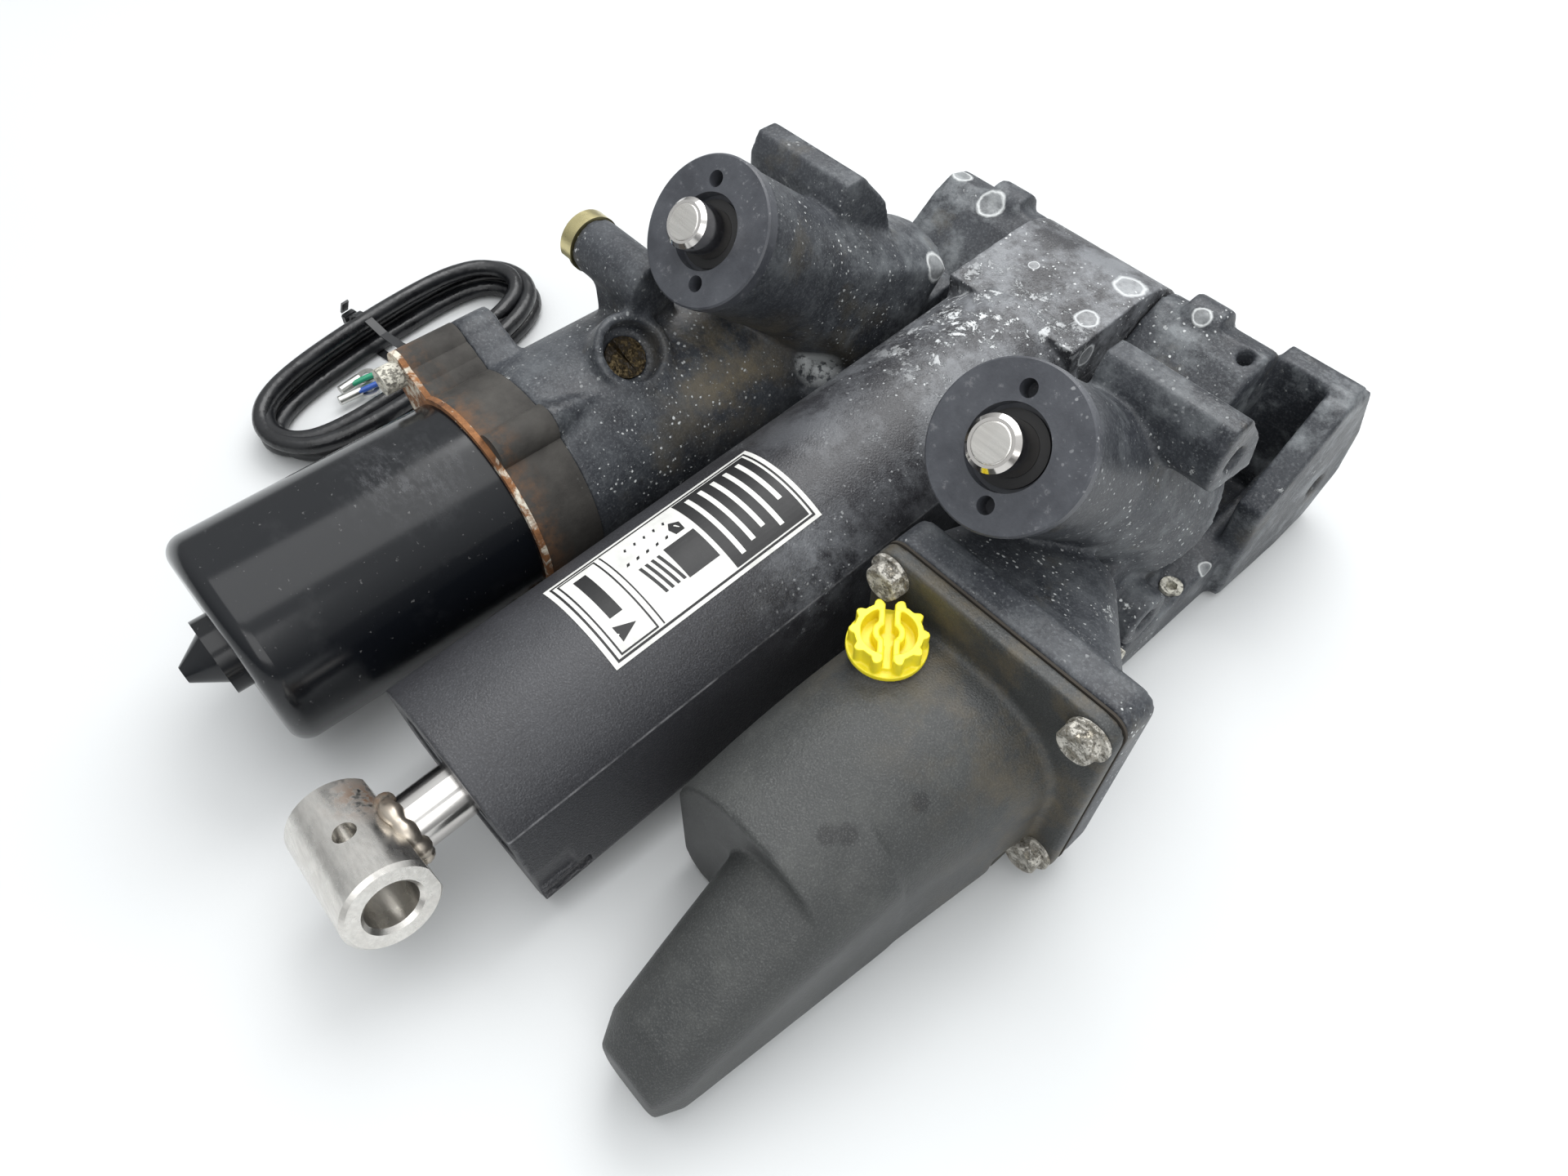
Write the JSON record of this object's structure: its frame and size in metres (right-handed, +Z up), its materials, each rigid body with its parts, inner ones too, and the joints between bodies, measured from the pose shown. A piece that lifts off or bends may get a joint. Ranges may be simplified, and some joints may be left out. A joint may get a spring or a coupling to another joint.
{
  "type": "power trim and tilt unit",
  "caption": "Outboard engine tilt and trim hydraulic unit: a hinged central tilt cylinder with rod eye, side trim rams, an electric pump motor, an oil reservoir and a cast manifold.",
  "frame": {"origin": "centre of the bore through the tilt rod's eye", "axes": "+Y from the eye along the unit to the manifold's hinge, +X towards the oil reservoir, +Z up from the bench it lies on"},
  "size_m": [0.457, 0.4592, 0.1729],
  "materials": {
    "cast_housing": "charcoal painted casting, weathered with white oxide",
    "cylinder_paint": "satin black paint with fine grain",
    "trim_cap_black": "black hard-coated, edge worn",
    "machined_steel": "turned stainless steel",
    "chromed_rod": "hard chrome, polished",
    "weld_rust": "weld bead, tinted and rust-stained",
    "motor_gloss": "gloss black enamel, lightly scuffed",
    "rusty_steel": "paint lost to rust with white deposit",
    "adapter_cast": "matte brown-grey cast",
    "corroded_screw": "dull, white corrosion",
    "weathered_bolt": "dull plated steel, tanned",
    "bronze": "dark bronze",
    "zinc_ring": "yellow zinc plate",
    "tank_plastic": "moulded, fine grain",
    "yellow_plastic": "lemon yellow, slightly glossy",
    "seal_rubber": "matte black",
    "gasket_sheet": "matte fibre",
    "label_film": "printed film",
    "cable_jacket": "soft sheen vinyl",
    "tie_plastic": "smooth nylon",
    "terminal_tin": "tinned",
    "inner_steel": "ground steel",
    "core_iron": "laminated iron",
    "copper": "copper",
    "magnet_ferrite": "sintered ferrite",
    "carbon": "pressed carbon",
    "brush_card": "phenolic sheet",
    "pump_cast": "machined iron",
    "bearing_bronze": "sintered bronze",
    "screen_mesh": "woven screen"
  },
  "bodies": {
    "manifold": {"manifold_casting": "cast_housing", "hinge_pin": "machined_steel", "trim_cap_left": "trim_cap_black", "trim_cap_right": "trim_cap_black", "trim_wipers": "seal_rubber", "motor_can": "motor_gloss", "motor_rim": "rusty_steel", "motor_adapter": "adapter_cast", "motor_screws": "corroded_screw", "reservoir": "tank_plastic", "reservoir_bolts": "weathered_bolt", "harness_grommet": "seal_rubber", "harness_cable": "cable_jacket", "harness_hank": "cable_jacket", "harness_tie": "tie_plastic", "harness_terminals": "terminal_tin", "harness_clip": "zinc_ring", "gallery_plugs": "corroded_screw", "motor_magnets": "magnet_ferrite", "brush_plate": "brush_card", "brush_boxes": "bearing_bronze", "brushes": "carbon", "motor_bearings": "bearing_bronze", "pump_cover": "pump_cast", "pump_body": "pump_cast", "pump_screws": "inner_steel", "pump_filter": "screen_mesh", "static_seals": "seal_rubber", "reservoir_gasket": "gasket_sheet", "reservoir_washers": "weathered_bolt"},
    "tilt_cylinder": {"tilt_cylinder_body": "cylinder_paint", "tilt_gland": "trim_cap_black", "tilt_gland_seals": "seal_rubber", "information_label": "label_film", "hinge_bushings": "bearing_bronze"},
    "tilt_rod": {"tilt_rod": "chromed_rod", "rod_eye": "machined_steel", "weld_bead": "weld_rust", "tilt_piston": "inner_steel", "tilt_piston_ring": "seal_rubber", "piston_nut": "inner_steel"},
    "memory_piston": {"memory_piston": "inner_steel", "memory_piston_ring": "seal_rubber"},
    "trim_rod_left": {"trim_rod_left": "chromed_rod", "trim_rod_tip_left": "machined_steel", "trim_piston_ring_left": "seal_rubber"},
    "trim_rod_right": {"trim_rod_right": "chromed_rod", "trim_rod_tip_right": "machined_steel", "trim_piston_ring_right": "seal_rubber"},
    "armature": {"armature_shaft": "inner_steel", "armature_core": "core_iron", "armature_windings": "copper", "commutator": "copper", "shaft_coupler": "inner_steel", "pump_drive_gear": "inner_steel"},
    "driven_gear": {"pump_driven_gear": "inner_steel"},
    "fill_cap_thread": {"fill_cap_seal": "seal_rubber"},
    "fill_cap": {"fill_cap": "yellow_plastic"},
    "release_valve_thread": {"release_valve_seal": "seal_rubber"},
    "release_valve": {"release_valve": "bronze"}
  },
  "joints": [
    {"name": "tilt_cylinder_pivot", "type": "hinge", "parent": "manifold", "child": "tilt_cylinder", "pos_m": [0, 0.36896, 0.02774], "axis": [-1, 0, 0], "range_deg": [0, 22]},
    {"name": "tilt_rod_slide", "type": "slide", "parent": "tilt_cylinder", "child": "tilt_rod", "axis": [0, -0.9972, -0.075], "range_m": [0, 0.21]},
    {"name": "memory_piston_slide", "type": "slide", "parent": "tilt_cylinder", "child": "memory_piston", "axis": [0, -0.9972, -0.075], "range_m": [0, 0.21]},
    {"name": "trim_rod_left_slide", "type": "slide", "parent": "manifold", "child": "trim_rod_left", "axis": [0, -0.7547, 0.6561], "range_m": [0, 0.072]},
    {"name": "trim_rod_right_slide", "type": "slide", "parent": "manifold", "child": "trim_rod_right", "axis": [0, -0.7547, 0.6561], "range_m": [0, 0.072]},
    {"name": "armature_spin", "type": "hinge", "parent": "manifold", "child": "armature", "pos_m": [-0.103, 0.06, 0.01], "axis": [0, 1, 0], "continuous": true},
    {"name": "driven_gear_spin", "type": "hinge", "parent": "manifold", "child": "driven_gear", "pos_m": [-0.103, 0.163, -0.008], "axis": [0, 1, 0], "continuous": true},
    {"name": "fill_cap_lift", "type": "slide", "parent": "manifold", "child": "fill_cap_thread", "axis": [0, 0, 1], "range_m": [0, 0.009]},
    {"name": "fill_cap_turn", "type": "hinge", "parent": "fill_cap_thread", "child": "fill_cap", "pos_m": [0.079, 0.169, 0.052], "axis": [0, 0, 1], "range_deg": [0, 1084]},
    {"name": "release_valve_lift", "type": "slide", "parent": "manifold", "child": "release_valve_thread", "axis": [0.6392, 0, 0.769], "range_m": [0, 0.0045]},
    {"name": "release_valve_turn", "type": "hinge", "parent": "release_valve_thread", "child": "release_valve", "pos_m": [-0.088, 0.192, 0.06], "axis": [0.6392, 0, 0.769], "range_deg": [0, 1084]}
  ],
  "couplings": [
    {"joint": "memory_piston_slide", "follows": "tilt_rod_slide", "ratio": 1},
    {"joint": "trim_rod_left_slide", "follows": "trim_rod_right_slide", "ratio": 1},
    {"joint": "driven_gear_spin", "follows": "armature_spin", "ratio": -1},
    {"joint": "fill_cap_turn", "follows": "fill_cap_lift", "rad_per_m": 2094.4},
    {"joint": "release_valve_turn", "follows": "release_valve_lift", "rad_per_m": 4188.8}
  ]
}
